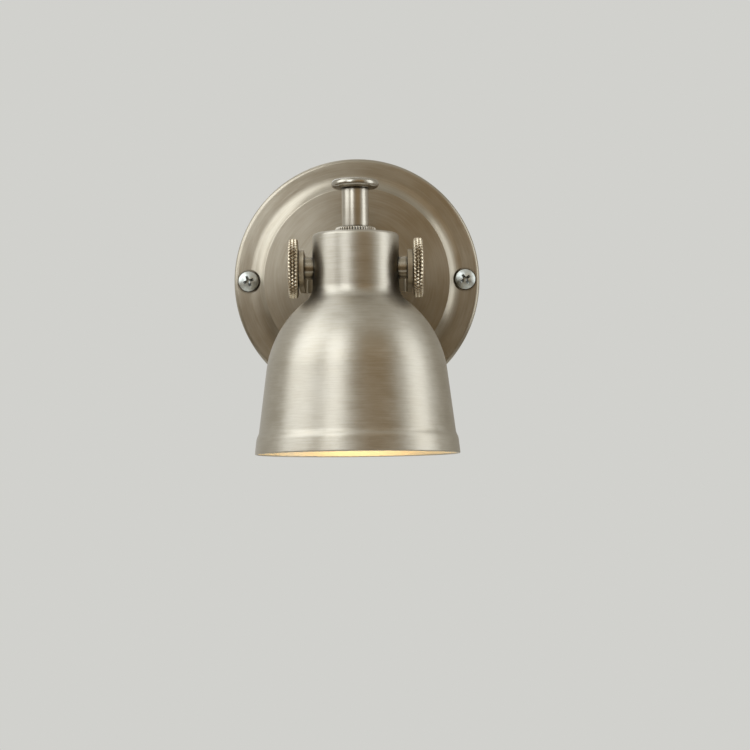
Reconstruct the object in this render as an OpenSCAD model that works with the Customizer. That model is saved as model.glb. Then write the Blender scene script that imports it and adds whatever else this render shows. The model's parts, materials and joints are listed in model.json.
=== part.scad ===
// Adjustable wall light: a spun plate, a flat-strip yoke and a bell shade that tilts between
// two knurled thumb screws. Millimetres. The wall is the plane y = 0 and the light stands
// out of it towards -y. The origin is the centre of the wall plate's back.

/* [Wall plate] */
// Outside diameter of the wall plate
plate_d = 120; // [114:1:150]
// Thickness of the plate's sheet
plate_sheet = 1.2; // [0.8:0.1:1.4]
// Height of the raised disc's face above the wall
plate_h = 8; // [7.75:0.25:10]
// Height of the outer flange's face above the wall
flange_h = 4.5; // [4:0.25:5]
// Width of the flange, from the rim to the foot of the cove
flange_w = 8.4; // [7.5:0.1:11]
// Radius of the cove between the flange and the raised disc
cove_r = 7.5; // [6:0.25:9]
// Rounding of the edge of the raised disc
edge_r = 0.6; // [0.3:0.1:1]
// Rounding of the rim's outer edge
rim_round = 1.6; // [1.5:0.1:2.2]

/* [Plate screws] */
// Distance from the plate's rim to the axis of each screw
screw_inset = 7; // [6.8:0.1:8.5]
// Shank diameter of the plate screws
screw_d = 4.8; // [4:0.1:5]
// Length of the plate screws under the head
screw_len = 30; // [20:1:50]
// Head diameter of the plate screws
screw_head_d = 10.2; // [9:0.1:11]
// Head height of the plate screws
screw_head_h = 2.9; // [2.4:0.1:3.4]
// Gap between a screw head and the rim of its dimple
dimple_gap = 0.8; // [0.4:0.1:1.2]

/* [Stand-off] */
// Distance from the wall to the tilt axis
pivot_out = 65; // [60:1:80]
// Diameter of the round spacer between plate and yoke
post_d = 15; // [14:0.5:18]
// Outside diameter of the threaded tubes
tube_d = 10; // [9:0.5:11]
// Bore of the threaded tubes
tube_bore = 7; // [5:0.25:7.5]
// Thickness of the hexagon nuts on the threaded tubes
nut_t = 2.8; // [2:0.1:3]
// Width across the flats of those nuts
nut_af = 14; // [13.5:0.25:15]

/* [Yoke] */
// Width of the yoke's flat strip
strip_w = 17.3; // [16:0.1:20]
// Thickness of the strip
strip_t = 2.4; // [1.5:0.1:3]
// Inner radius of the yoke's two bends
bend_r = 2; // [1:0.25:3]
// Gap between the neck's swinging corner and what stands in front of the yoke's web
sweep_gap = 1.3; // [0.8:0.1:4]

/* [Tilt joint] */
// Diameter of the collars between neck and yoke
collar_d = 10.4; // [9.5:0.1:12]
// Length of the collars outside the neck
collar_len = 3.8; // [3:0.1:6]
// Thread diameter of the thumb screws
thumb_d = 5; // [4:0.25:5.5]
// Diameter of the thumb screws' knurled heads
knob_d = 28; // [24:0.5:34]
// Thickness of the knurled heads
knob_w = 4.4; // [4:0.1:7]
// Number of diamonds around a knurled head
knurl_count = 47; // [36:1:56]
// Number of staggered rows of diamonds across a head
knurl_rows = 3; // [2:1:5]
// Depth of the diamond knurl
knurl_depth = 0.6; // [0.3:0.05:0.8]

/* [Shade] */
// Thickness of the shade's sheet
wall = 1; // [0.8:0.1:1.2]
// Outside diameter of the neck
neck_d = 40.4; // [40:0.2:46]
// Height of the neck's top above the tilt axis
neck_top = 15.8; // [15:0.2:18]
// Rounding of the neck's top edge
corner_r = 2.3; // [1.6:0.1:4]
// Radius of the hollow fillet under the neck
fillet_r = 9; // [7:0.25:11]
// Radius of the shoulder's long arc
belly_r = 49; // [47:0.5:51]
// Shade radius where the shoulder runs into the taper
taper_r = 42.2; // [41:0.2:45]
// Depth of that place under the tilt axis
taper_z = 47.8; // [46:0.2:50]
// Slope of the tapered side, off the vertical
taper_deg = 7.3; // [5:0.1:9]
// Depth of the mouth under the tilt axis
mouth_z = 86.8; // [84:0.2:96]
// Height of the lip over the mouth, up to the end of the flare
lip_h = 6.4; // [4:0.2:8]
// Radius of the flare's two arcs
flare_r = 6.5; // [3:0.25:9]
// How far the flare leans out from the tapered side
flare_deg = 22; // [12:1:35]
// Slope of the lip, off the vertical
lip_deg = 4; // [0:0.5:8]

/* [Lock ring and handle] */
// Diameter of the knurled lock ring on the neck
ring_d = 19; // [17:0.5:24]
// Height of the lock ring
ring_h = 3.5; // [2.5:0.1:5]
// Number of teeth around the lock ring
ring_teeth = 46; // [36:1:60]
// Depth of the lock ring's straight knurl
ring_depth = 0.4; // [0.2:0.05:0.6]
// Diameter of the handle's stem
stem_d = 12.5; // [12:0.25:15]
// Length of the stem between lock ring and cap
stem_len = 18.1; // [15:0.1:25]
// Diameter of the handle's round cap
cap_d = 22.3; // [18:0.1:28]
// Thickness of the cap
cap_t = 4; // [3:0.1:6]

/* [Lampholder] */
// Outside diameter of the lampholder's body
holder_d = 28; // [27:0.25:29]
// Height of the lampholder's body
holder_h = 32; // [30:0.5:36]
// Height of the body's top above the tilt axis
holder_top = 8; // [7:0.1:8.2]
// Thickness of the strap that carries the lampholder
strap_t = 1; // [0.8:0.1:1.2]
// Width of the strap
strap_w = 14; // [12:0.5:16]
// Inside diameter of the threaded shell
shell_bore = 14; // [13.9:0.1:14.4]

/* [Lamp] */
// Diameter of the lamp's glass
lamp_d = 45; // [40:1:50]
// Length of the lamp, from its contact to the glass's bottom
lamp_len = 78; // [74:1:80]
// Wall of the lamp's glass
glass_t = 0.9; // [0.6:0.1:1.2]

/* [Hidden] */
$fn = 96;

// Radial gap of a still pin or thread in its hole
fit_gap = 0.1;
// Radial gap of the thumb screws in the yoke and in their bosses
run_gap = 0.08;
// Gap between a collar and the yoke's arm
collar_gap = 0.2;
// Gap between a knurled head and the yoke's arm
knob_gap = 0.3;
// Gap where a flat or turned piece seats on a curved sheet
seat_gap = 0.05;
// How far a cutting shape runs past what it cuts
over = 1;

// Wall plate
rim_r = plate_d / 2;
cove_x = rim_r - flange_w;
cove_z = flange_h + cove_r;
edge_z = plate_h - edge_r;
edge_drop = max(cove_z - edge_z, 0);
edge_x = cove_x - sqrt(pow(cove_r + edge_r, 2) - pow(edge_drop, 2));
dimple_r = screw_head_d / 2 + dimple_gap;
screw_hole_r = screw_d / 2 + 0.35;
screw_neck_r = 0.42 * screw_d;
screw_dome_r = 0.8 * screw_head_d;
screw_point = 1.4 * screw_d;
screw_turns = [20, 35];
recess_l = 0.54 * screw_head_d;
recess_w = 0.14 * screw_head_d;
recess_depth = 0.6 * screw_head_h;

// Tube, nuts, washers and bushes, as heights above the wall
tube_r = tube_d / 2;
tube_hole_r = tube_r + fit_gap;
washer_t = 0.8;
washer_r = nut_af / 2 + 1;
tag_t = 0.6;
tag_len = 10;
tag_w = 6.3;
proud = 0.6;
bush_flange = 0.8;
bush_wall = 0.7;
bush_len = 5;
bush_bore_r = tube_bore / 2 - fit_gap - bush_wall;
neck_r = neck_d / 2;
sweep_r = norm([neck_r - corner_r, neck_top - corner_r]) + corner_r;
front_stack = washer_t + nut_t + proud + bush_flange;
yoke_reach = sweep_r + sweep_gap + front_stack;
web_front = pivot_out - yoke_reach;
web_back = web_front - strip_t;
plate_inside = plate_h - plate_sheet;
tube_back = plate_inside - washer_t - tag_t - nut_t - proud;
tube_front = web_front + washer_t + nut_t + proud;

// Yoke, collars and thumb screws, as distances from the middle
collar_x = neck_r + collar_len;
arm_x = collar_x + collar_gap;
arm_out_x = arm_x + strip_t;
knob_x = arm_out_x + knob_gap;
knob_out_x = knob_x + knob_w;
thumb_r = thumb_d / 2;
thumb_hole_r = thumb_r + run_gap;
spigot_r = thumb_r + 1.2;
stake_r = spigot_r + 0.8;
stake_t = 1.2;
neck_in_r = neck_r - wall;
stake_x = sqrt(pow(neck_in_r, 2) - pow(stake_r, 2)) - seat_gap;
thumb_end_x = stake_x - stake_t - 1;
knurl_steps = 2 * knurl_count;
knob_tip_r = knob_d / 2;
knob_root_r = knob_tip_r - knurl_depth;
knob_face_r = knob_root_r - 0.1;

// Shade outline: centres of its arcs, in radius and height
belly_x = taper_r - belly_r * cos(taper_deg);
belly_z = -taper_z - belly_r * sin(taper_deg);
fillet_x = neck_r + fillet_r;
fillet_z = belly_z + sqrt(pow(belly_r + fillet_r, 2) - pow(fillet_x - belly_x, 2));
lean_deg = taper_deg + flare_deg;
flare_z = mouth_z - lip_h - flare_r * (2 * sin(lean_deg) - sin(taper_deg) - sin(lip_deg));
flare_x = taper_r + (flare_z - taper_z) * tan(taper_deg);
// Largest angle between two points of an arc in an outline
arc_step = 4;

// Grommet in the neck's rear
grommet_bore_r = 2.2;
grommet_r = 3.6;
grommet_flange_r = 4.7;
grommet_flange_t = 1;
grommet_in_y = sqrt(pow(neck_in_r, 2) - pow(grommet_flange_r, 2)) - seat_gap;
grommet_out_y = neck_r + seat_gap;

// Lock ring, handle and nipple, as heights above the tilt axis
ring_top = neck_top + ring_h;
cap_z = ring_top + stem_len;
stem_socket = 9;
stud_r = 3;
stud_len = 6;
nipple_top = ring_top + stem_socket - 1;
strap_top = neck_top - wall;
nipple_low = strap_top - strap_t - nut_t - proud;

// Lampholder and lamp
holder_r = holder_d / 2;
leg_x = nut_af / 2 + 0.6;
foot_x = holder_r - 0.4;
small_screw_r = 1.5;
small_head_r = 2.4;
small_head_t = 1.7;
small_screw_len = 7;
small_screw_x = (leg_x + strap_t + foot_x) / 2;
holder_roof = 8;
holder_floor = holder_top - holder_roof;
shell_r = shell_bore / 2;
shell_t = 0.5;
shell_len = 16;
shell_drop = 1.5;
shell_low = holder_floor - shell_drop - shell_len;
holder_low = holder_top - holder_h;
wire_hole_r = 1.4;
wire_hole_y = 5.5;
tongue_w = 4;
tongue_t = 0.5;
tongue_drop = 3.2;
lamp_tip = holder_floor - tongue_drop;
lamp_gap = 0.15;
lamp_cap_r = shell_r - lamp_gap;
lamp_cap_t = 0.35;
lamp_cap_len = 15;
lamp_button_h = 3;
lamp_cap_top = lamp_tip - lamp_button_h;
lamp_cap_low = lamp_cap_top - lamp_cap_len;
lamp_low = lamp_tip - lamp_len;
globe_r = lamp_d / 2;
globe_z = lamp_low + globe_r;
glass_neck_r = lamp_cap_r - lamp_cap_t - fit_gap;
glass_neck_in = 3;
lamp_blend_r = 16;
lamp_blend_x = glass_neck_r + lamp_blend_r;
lamp_blend_z = globe_z + sqrt(pow(globe_r + lamp_blend_r, 2) - pow(lamp_blend_x, 2));

// Places that follow the wall or the tilt axis
module on_wall() {
    rotate([90, 0, 0]) children();
}

module on_head() {
    translate([0, -pivot_out, 0]) children();
}

// A flat ring, such as a washer
module ring(r_out, r_in, z0, z1) {
    translate([0, 0, z0]) difference() {
        cylinder(r = r_out, h = z1 - z0);
        translate([0, 0, -over]) cylinder(r = r_in, h = z1 - z0 + 2 * over);
    }
}

// A hexagon nut with turned corners
module hex_nut(z0) {
    corner = nut_af / sqrt(3);
    bevel = 0.5;
    translate([0, 0, z0]) difference() {
        intersection() {
            rotate([0, 0, 30]) cylinder(r = corner, h = nut_t, $fn = 6);
            rotate_extrude() polygon([
                [0, 0], [corner - bevel, 0], [corner, bevel],
                [corner, nut_t - bevel], [corner - bevel, nut_t], [0, nut_t]
            ]);
        }
        translate([0, 0, -over]) cylinder(r = tube_hole_r, h = nut_t + 2 * over);
    }
}

// A flanged plastic sleeve that lines the end of the threaded tube; the flange is at z = 0
module tube_bush() {
    difference() {
        union() {
            cylinder(r = tube_r - 0.2, h = bush_flange);
            cylinder(r = tube_bore / 2 - fit_gap, h = bush_flange + bush_len);
        }
        translate([0, 0, -over]) cylinder(r = bush_bore_r, h = bush_flange + bush_len + 2 * over);
    }
}

// Half outline of the plate, at a depth t under its face and down to the height low
module plate_outline(t, low) {
    difference() {
        translate([0, low]) square([cove_x, plate_h - t - low]);
        translate([cove_x, cove_z]) circle(cove_r + t);
        translate([cove_x - cove_r - t, cove_z]) square([cove_r + t + over, plate_h]);
        if (t == 0) difference() {
            polygon([[edge_x, edge_z], [edge_x, cove_z + over], [cove_x, cove_z + over], [cove_x, cove_z]]);
            translate([edge_x, edge_z]) circle(edge_r);
        }
    }
    translate([0, low]) square([rim_r - rim_round, flange_h - t - low]);
    translate([0, low]) square([rim_r - t, flange_h - rim_round - low]);
    translate([rim_r - rim_round, flange_h - rim_round]) circle(rim_round - t);
}

module at_plate_screws() {
    for (side = [0, 1]) {
        translate([(2 * side - 1) * (rim_r - screw_inset), 0, 0]) rotate([0, 0, screw_turns[side]]) children();
    }
}

module wall_plate() {
    color("#b3a898") on_wall() difference() {
        rotate_extrude() plate_outline(0, 0);
        difference() {
            rotate_extrude() plate_outline(plate_sheet, -over);
            at_plate_screws() translate([0, 0, flange_h - plate_sheet])
                cylinder(r = dimple_r + plate_sheet, h = plate_h);
        }
        at_plate_screws() translate([0, 0, flange_h]) cylinder(r = dimple_r, h = plate_h);
        at_plate_screws() translate([0, 0, -over]) cylinder(r = screw_hole_r, h = plate_h);
        cylinder(r = tube_hole_r, h = plate_h + over);
    }
}

// A pan head with a cross recess, a plain neck as deep as the plate, a thread and a point
module plate_screw() {
    shank = screw_len - screw_point;
    neck = flange_h - 0.5;
    difference() {
        rotate_extrude() intersection() {
            square([screw_head_d / 2, screw_head_h]);
            translate([0, screw_head_h - screw_dome_r]) circle(screw_dome_r);
        }
        translate([0, 0, screw_head_h - recess_depth]) intersection() {
            union() {
                translate([-recess_l / 2, -recess_w / 2, 0]) cube([recess_l, recess_w, screw_head_h]);
                translate([-recess_w / 2, -recess_l / 2, 0]) cube([recess_w, recess_l, screw_head_h]);
            }
            cylinder(r1 = recess_w * 0.7, r2 = recess_l / 2, h = recess_depth);
        }
    }
    translate([0, 0, -neck]) cylinder(r = screw_neck_r, h = neck);
    translate([0, 0, -shank]) cylinder(r = screw_d / 2, h = shank - neck);
    translate([0, 0, -screw_len]) cylinder(r1 = 0.3, r2 = screw_d / 2, h = screw_point);
}

module plate_screws() {
    color("#c8cccf") on_wall() at_plate_screws() translate([0, 0, flange_h]) plate_screw();
}

module standoff_post() {
    bevel = 0.8;
    color("#b3a898") on_wall() difference() {
        rotate_extrude() polygon([
            [tube_hole_r, plate_h], [post_d / 2 - bevel, plate_h], [post_d / 2, plate_h + bevel],
            [post_d / 2, web_back - bevel], [post_d / 2 - bevel, web_back], [tube_hole_r, web_back]
        ]);
    }
}

module threaded_tube() {
    color("#c9b27a") on_wall() ring(tube_r, tube_bore / 2, tube_back, tube_front);
}

module tooth_washer() {
    teeth = 8;
    notch_w = 1.2;
    color("#bfc3c6") on_wall() difference() {
        ring(washer_r, tube_hole_r, plate_inside - washer_t, plate_inside);
        for (i = [0 : teeth - 1]) rotate([0, 0, i * 360 / teeth])
            translate([washer_r - 1.2, -notch_w / 2, plate_inside - washer_t - over])
                cube([3, notch_w, washer_t + 2 * over]);
    }
}

// A ring with a flat push-on blade, held under the plate's nut
module earth_tag() {
    z0 = plate_inside - washer_t - tag_t;
    color("#c9b27a") on_wall() translate([0, 0, z0]) difference() {
        union() {
            cylinder(r = washer_r, h = tag_t);
            translate([-tag_w / 2, -washer_r - tag_len, 0]) cube([tag_w, washer_r + tag_len, tag_t]);
        }
        translate([0, 0, -over]) cylinder(r = tube_hole_r, h = tag_t + 2 * over);
        translate([0, -washer_r - 0.6 * tag_len, -over]) cylinder(r = 0.9, h = tag_t + 2 * over);
    }
}

module plate_nut() {
    color("#bfc3c6") on_wall() hex_nut(tube_back + proud);
}

module tube_bush_back() {
    color("#e8e6df") on_wall() translate([0, 0, tube_back - bush_flange]) tube_bush();
}

// Plan of the yoke's outer or inner face: two arms from y = 0 to a web, with rounded corners
module yoke_plan(half_w, reach, r) {
    translate([-half_w, -strip_w]) square([2 * half_w, reach - r + strip_w]);
    translate([-half_w + r, -strip_w]) square([2 * (half_w - r), reach + strip_w]);
    for (side = [-1, 1]) translate([side * (half_w - r), reach - r]) circle(r);
}

// Bent from flat strip; each arm ends in a half circle about the tilt axis
module yoke() {
    color("#b3a898") on_head() difference() {
        intersection() {
            translate([0, 0, -strip_w / 2]) linear_extrude(height = strip_w) difference() {
                yoke_plan(arm_out_x, yoke_reach + strip_t, bend_r + strip_t);
                translate([0, -over]) yoke_plan(arm_x, yoke_reach + over, bend_r);
            }
            union() {
                translate([-arm_out_x, 0, -strip_w / 2])
                    cube([2 * arm_out_x, yoke_reach + strip_t, strip_w]);
                translate([-arm_out_x, 0, 0]) rotate([0, 90, 0])
                    cylinder(r = strip_w / 2, h = 2 * arm_out_x);
            }
        }
        translate([-arm_out_x - over, 0, 0]) rotate([0, 90, 0])
            cylinder(r = thumb_hole_r, h = 2 * (arm_out_x + over));
        translate([0, yoke_reach - over, 0]) rotate([-90, 0, 0])
            cylinder(r = tube_hole_r, h = strip_t + 2 * over);
    }
}

module yoke_washer() {
    color("#bfc3c6") on_wall() ring(washer_r, tube_hole_r, web_front, web_front + washer_t);
}

module yoke_nut() {
    color("#bfc3c6") on_wall() hex_nut(web_front + washer_t);
}

module tube_bush_front() {
    color("#e8e6df") on_wall() translate([0, 0, tube_front + bush_flange]) mirror([0, 0, 1]) tube_bush();
}

// Points along an arc about a centre, from one angle to another
function arc(centre, r, from, to) =
    let (n = ceil(abs(to - from) / arc_step))
        [for (i = [0 : n]) let (a = from + (to - from) * i / n) centre + r * [cos(a), sin(a)]];

// Outline of the shade's outer face at t = 0, or of a face at a depth t under it: neck with a
// rounded top edge, hollow fillet, long shoulder arc, taper, flare and lip
function shade_face(t) =
    let (
        fillet_deg = atan2(fillet_z - belly_z, fillet_x - belly_x),
        flare = [flare_x, -flare_z] + flare_r * [cos(taper_deg), sin(taper_deg)],
        turn = flare - 2 * flare_r * [cos(lean_deg), sin(lean_deg)],
        lip = turn + (flare_r - t) * [cos(lip_deg), sin(lip_deg)]
    )
    concat(
        [[tube_hole_r, neck_top - t]],
        arc([neck_r - corner_r, neck_top - corner_r], corner_r - t, 90, 0),
        arc([fillet_x, fillet_z], fillet_r + t, 180, 180 + fillet_deg),
        arc([belly_x, belly_z], belly_r - t, fillet_deg, taper_deg),
        arc(flare, flare_r + t, 180 + taper_deg, 180 + lean_deg),
        arc(turn, flare_r - t, lean_deg, lip_deg),
        [[lip[0] + (lip[1] + mouth_z) * tan(lip_deg), -mouth_z]]
    );

module shade() {
    outer = shade_face(0);
    inner = shade_face(wall);
    inward = [for (i = [len(inner) - 1 : -1 : 0]) inner[i]];
    color("#b9ae9e") on_head() difference() {
        rotate_extrude() polygon(concat(outer, inward));
        translate([-neck_r - over, 0, 0]) rotate([0, 90, 0])
            cylinder(r = spigot_r + seat_gap, h = 2 * (neck_r + over));
        rotate([-90, 0, 0]) cylinder(r = grommet_r + seat_gap, h = neck_r + over);
    }
}

// A rubber ring with a groove for the neck's sheet
module neck_grommet() {
    color("#2b2b2b") on_head() rotate([-90, 0, 0]) difference() {
        union() {
            translate([0, 0, grommet_in_y - grommet_flange_t])
                cylinder(r = grommet_flange_r, h = grommet_flange_t);
            translate([0, 0, grommet_in_y]) cylinder(r = grommet_r, h = grommet_out_y - grommet_in_y);
            translate([0, 0, grommet_out_y]) cylinder(r = grommet_flange_r, h = grommet_flange_t);
        }
        translate([0, 0, grommet_in_y - grommet_flange_t - over])
            cylinder(r = grommet_bore_r, h = neck_r);
    }
}

// A turned collar with a saddle end on the neck, staked over inside it; axis along x
module pivot_boss() {
    on_head() rotate([0, 90, 0]) difference() {
        union() {
            difference() {
                translate([0, 0, neck_r - 2]) cylinder(r = collar_d / 2, h = collar_x - neck_r + 2);
                rotate([0, -90, 0]) translate([0, 0, -collar_d])
                    cylinder(r = neck_r + seat_gap, h = 2 * collar_d);
            }
            translate([0, 0, stake_x - over]) cylinder(r = spigot_r, h = collar_x - stake_x);
            translate([0, 0, stake_x - stake_t]) cylinder(r = stake_r, h = stake_t);
        }
        cylinder(r = thumb_hole_r, h = collar_x + over);
    }
}

module pivot_boss_left() {
    color("#a89d8d") mirror([1, 0, 0]) pivot_boss();
}

module pivot_boss_right() {
    color("#a89d8d") pivot_boss();
}

// A round head with a diamond knurl. Each row is a ring of points that are tips and roots in
// turn; the next row is half a step on, and the grooves run from root to root.
function knob_radius(row, step) =
    (row == 0 || row == knurl_rows + 1) ? knob_face_r :
    ((row + step) % 2 == 0) ? knob_tip_r : knob_root_r;

function knob_height(row) =
    (row == 0) ? 0 :
    (row == knurl_rows + 1) ? knob_w :
    knob_w * (row - 0.5) / knurl_rows;

function knob_index(row, step) = row * knurl_steps + step % knurl_steps;

module knurled_head() {
    points = [
        for (row = [0 : knurl_rows + 1], step = [0 : knurl_steps - 1])
            let (r = knob_radius(row, step), a = step * 360 / knurl_steps)
                [r * cos(a), r * sin(a), knob_height(row)]
    ];
    sides = [
        for (row = [0 : knurl_rows], step = [0 : knurl_steps - 1], half = [0, 1])
            let (
                a = knob_index(row, step),
                b = knob_index(row, step + 1),
                c = knob_index(row + 1, step + 1),
                d = knob_index(row + 1, step),
                tip = (row + step) % 2 == 0
            )
                tip ? (half == 0 ? [a, d, b] : [b, d, c]) : (half == 0 ? [a, d, c] : [a, c, b])
    ];
    low_face = [for (step = [0 : knurl_steps - 1]) knob_index(0, step)];
    top_face = [for (step = [knurl_steps - 1 : -1 : 0]) knob_index(knurl_rows + 1, step)];
    polyhedron(points = points, faces = concat(sides, [low_face, top_face]), convexity = 4);
}

module thumb_screw() {
    bevel = 0.5;
    shank = knob_x - thumb_end_x;
    on_head() translate([knob_out_x, 0, 0]) rotate([0, -90, 0]) {
        knurled_head();
        translate([0, 0, knob_w]) rotate_extrude() polygon([
            [0, -over], [thumb_r, -over], [thumb_r, shank - bevel], [thumb_r - bevel, shank], [0, shank]
        ]);
    }
}

module thumb_screw_left() {
    color("#a3967f") mirror([1, 0, 0]) thumb_screw();
}

module thumb_screw_right() {
    color("#a3967f") thumb_screw();
}

// A lock ring with a straight knurl
module ring_nut() {
    tip_r = ring_d / 2;
    root_r = tip_r - ring_depth;
    steps = 2 * ring_teeth;
    color("#b3a898") on_head() translate([0, 0, neck_top]) linear_extrude(height = ring_h) difference() {
        polygon([
            for (i = [0 : steps - 1])
                let (r = i % 2 == 0 ? tip_r : root_r, a = i * 360 / steps)
                    [r * cos(a), r * sin(a)]
        ]);
        circle(tube_hole_r);
    }
}

module handle_stem() {
    color("#b9ae9e") on_head() translate([0, 0, ring_top]) difference() {
        cylinder(r = stem_d / 2, h = stem_len);
        translate([0, 0, -over]) cylinder(r = tube_hole_r, h = stem_socket + over);
        translate([0, 0, stem_len - stud_len - over]) cylinder(r = stud_r + fit_gap, h = stud_len + 2 * over);
    }
}

// A flat disc with a full-round rim, a slight crown and a stud that screws into the stem
module handle_cap() {
    crown = 0.5;
    rim = cap_t / 2;
    flat_r = cap_d / 2 - rim;
    crown_r = (flat_r * flat_r + crown * crown) / (2 * crown);
    color("#a89d8d") on_head() translate([0, 0, cap_z]) {
        rotate_extrude() {
            square([flat_r, cap_t]);
            translate([flat_r, rim]) intersection() {
                circle(rim);
                translate([0, -rim]) square([rim, cap_t]);
            }
            intersection() {
                translate([0, cap_t]) square([flat_r, crown]);
                translate([0, cap_t + crown - crown_r]) circle(crown_r, $fn = 360);
            }
        }
        translate([0, 0, -stud_len]) cylinder(r = stud_r, h = stud_len);
    }
}

module holder_nipple() {
    color("#c9b27a") on_head() ring(tube_r, tube_bore / 2, nipple_low, nipple_top);
}

// A sheet bridge: a web under the neck's top, two legs and two feet on the lampholder
module holder_strap() {
    out_x = leg_x + strap_t;
    color("#bfc3c6") on_head() difference() {
        translate([0, strap_w / 2, 0]) rotate([90, 0, 0]) linear_extrude(height = strap_w) {
            translate([-out_x, strap_top - strap_t]) square([2 * out_x, strap_t]);
            for (side = [0, 1]) mirror([side, 0]) {
                translate([leg_x, holder_top]) square([strap_t, strap_top - holder_top]);
                translate([leg_x, holder_top]) square([foot_x - leg_x, strap_t]);
            }
        }
        translate([0, 0, holder_top]) cylinder(r = tube_hole_r, h = neck_top);
        at_small_screws() translate([0, 0, holder_top - over])
            cylinder(r = small_screw_r + fit_gap, h = strap_t + 2 * over);
        difference() {
            translate([-holder_d, -holder_d, holder_top - over]) cube([2 * holder_d, 2 * holder_d, strap_t + over]);
            cylinder(r = foot_x, h = neck_top);
        }
    }
}

module at_small_screws() {
    for (side = [-1, 1]) translate([side * small_screw_x, 0, 0]) children();
}

module holder_nut() {
    color("#bfc3c6") on_head() hex_nut(strap_top - strap_t - nut_t);
}

module holder_screws() {
    color("#c8cccf") on_head() at_small_screws() translate([0, 0, holder_top + strap_t]) difference() {
        union() {
            cylinder(r = small_head_r, h = small_head_t);
            translate([0, 0, -small_screw_len]) cylinder(r = small_screw_r, h = small_screw_len);
        }
        translate([-small_head_r, -0.4, 0.6 * small_head_t]) cube([2 * small_head_r, 0.8, small_head_t]);
    }
}

// The insulating body: a thick top with wire and screw holes over a stepped lamp cavity
module holder_body() {
    bevel = 1;
    skirt_r = lamp_cap_r + 2;
    socket_r = shell_r + shell_t + fit_gap;
    color("#f1efe8") on_head() difference() {
        rotate_extrude() polygon([
            [0, holder_top], [holder_r - bevel, holder_top], [holder_r, holder_top - bevel],
            [holder_r, holder_low + bevel], [holder_r - bevel, holder_low], [skirt_r, holder_low],
            [skirt_r, shell_low], [socket_r, shell_low], [socket_r, holder_floor], [0, holder_floor]
        ]);
        for (side = [-1, 1]) translate([0, side * wire_hole_y, holder_floor - over])
            cylinder(r = wire_hole_r, h = holder_top);
        at_small_screws() translate([0, 0, holder_top + strap_t - small_screw_len - 0.5])
            cylinder(r = small_screw_r + fit_gap, h = small_screw_len);
        for (side = [-1, 1]) translate([0, side * wire_hole_y, holder_top - 2])
            cylinder(r = wire_hole_r + 1, h = 2 + over);
    }
}

module holder_shell() {
    color("#c9b27a") on_head() ring(shell_r + shell_t, shell_r, shell_low, shell_low + shell_len);
}

// A springy centre contact: a strip along the cavity's floor that dips to the lamp's tip
module holder_tongue() {
    end_x = shell_r - 1;
    low = lamp_tip;
    color("#c98b4f") on_head() translate([0, tongue_w / 2, 0]) rotate([90, 0, 0])
        linear_extrude(height = tongue_w) polygon([
            [-end_x, holder_floor], [-end_x, holder_floor - tongue_t], [-end_x + 3, holder_floor - tongue_t],
            [-1.5, low], [1.5, low], [3, low + 0.6], [3, low + 0.6 + tongue_t], [1.2, low + tongue_t],
            [-1.2, low + tongue_t], [-end_x + 3.3, holder_floor]
        ]);
}

// Half outline of the lamp's glass, at a depth t under its face
module lamp_outline(t) {
    translate([0, globe_z]) intersection() {
        circle(globe_r - t);
        translate([0, -globe_r]) square([globe_r, lamp_d]);
    }
    difference() {
        polygon([[0, globe_z], [lamp_blend_x, lamp_blend_z], [0, lamp_blend_z]]);
        translate([lamp_blend_x, lamp_blend_z]) circle(lamp_blend_r + t);
    }
    translate([0, lamp_blend_z]) square([glass_neck_r - t, lamp_cap_low + glass_neck_in - lamp_blend_z]);
}

module bulb_globe() {
    color("#fff3d6") on_head() difference() {
        rotate_extrude() lamp_outline(0);
        rotate_extrude() lamp_outline(glass_t);
        translate([0, 0, lamp_cap_low]) cylinder(r = glass_neck_r - glass_t, h = glass_neck_in + over);
    }
}

module bulb_cap() {
    shoulder = 1.2;
    top_r = lamp_cap_r - shoulder;
    color("#d0d2d4") on_head() rotate_extrude() polygon([
        [lamp_cap_r - lamp_cap_t, lamp_cap_low], [lamp_cap_r, lamp_cap_low],
        [lamp_cap_r, lamp_cap_top - shoulder], [top_r, lamp_cap_top],
        [top_r - lamp_cap_t, lamp_cap_top], [lamp_cap_r - lamp_cap_t, lamp_cap_top - shoulder - lamp_cap_t]
    ]);
}

module bulb_insulator() {
    plug_r = lamp_cap_r - 1.2 - lamp_cap_t - 0.05;
    color("#3a2c28") on_head() rotate_extrude() polygon([
        [2.6, lamp_tip - 0.8], [plug_r, lamp_cap_top], [plug_r, lamp_cap_top - 1],
        [plug_r - 1, lamp_cap_top - 1.6], [1.1, lamp_cap_top - 1.6], [1.1, lamp_tip - 0.8]
    ]);
}

module bulb_contact() {
    color("#bfc3c6") on_head() {
        translate([0, 0, lamp_tip - 0.8]) cylinder(r = 2.4, h = 0.8);
        translate([0, 0, lamp_cap_top - 1.6]) cylinder(r = 1, h = lamp_tip - 0.8 - lamp_cap_top + 1.6);
    }
}

wall_plate();
plate_screws();
standoff_post();
threaded_tube();
tooth_washer();
earth_tag();
plate_nut();
tube_bush_back();
yoke();
yoke_washer();
yoke_nut();
tube_bush_front();
shade();
neck_grommet();
pivot_boss_left();
pivot_boss_right();
thumb_screw_left();
thumb_screw_right();
ring_nut();
handle_stem();
handle_cap();
holder_nipple();
holder_strap();
holder_nut();
holder_screws();
holder_body();
holder_shell();
holder_tongue();
bulb_globe();
bulb_cap();
bulb_insulator();
bulb_contact();
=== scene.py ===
"""Dresses the adjustable wall light: brushed nickel plate, yoke, knurled screws and bell shade."""
import json
import math

import bmesh
import bpy
from bpy.props import FloatProperty, FloatVectorProperty, IntProperty, PointerProperty
from bpy.types import NodeSocket, Operator, Panel, PropertyGroup
from mathutils import Matrix, Vector


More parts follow.
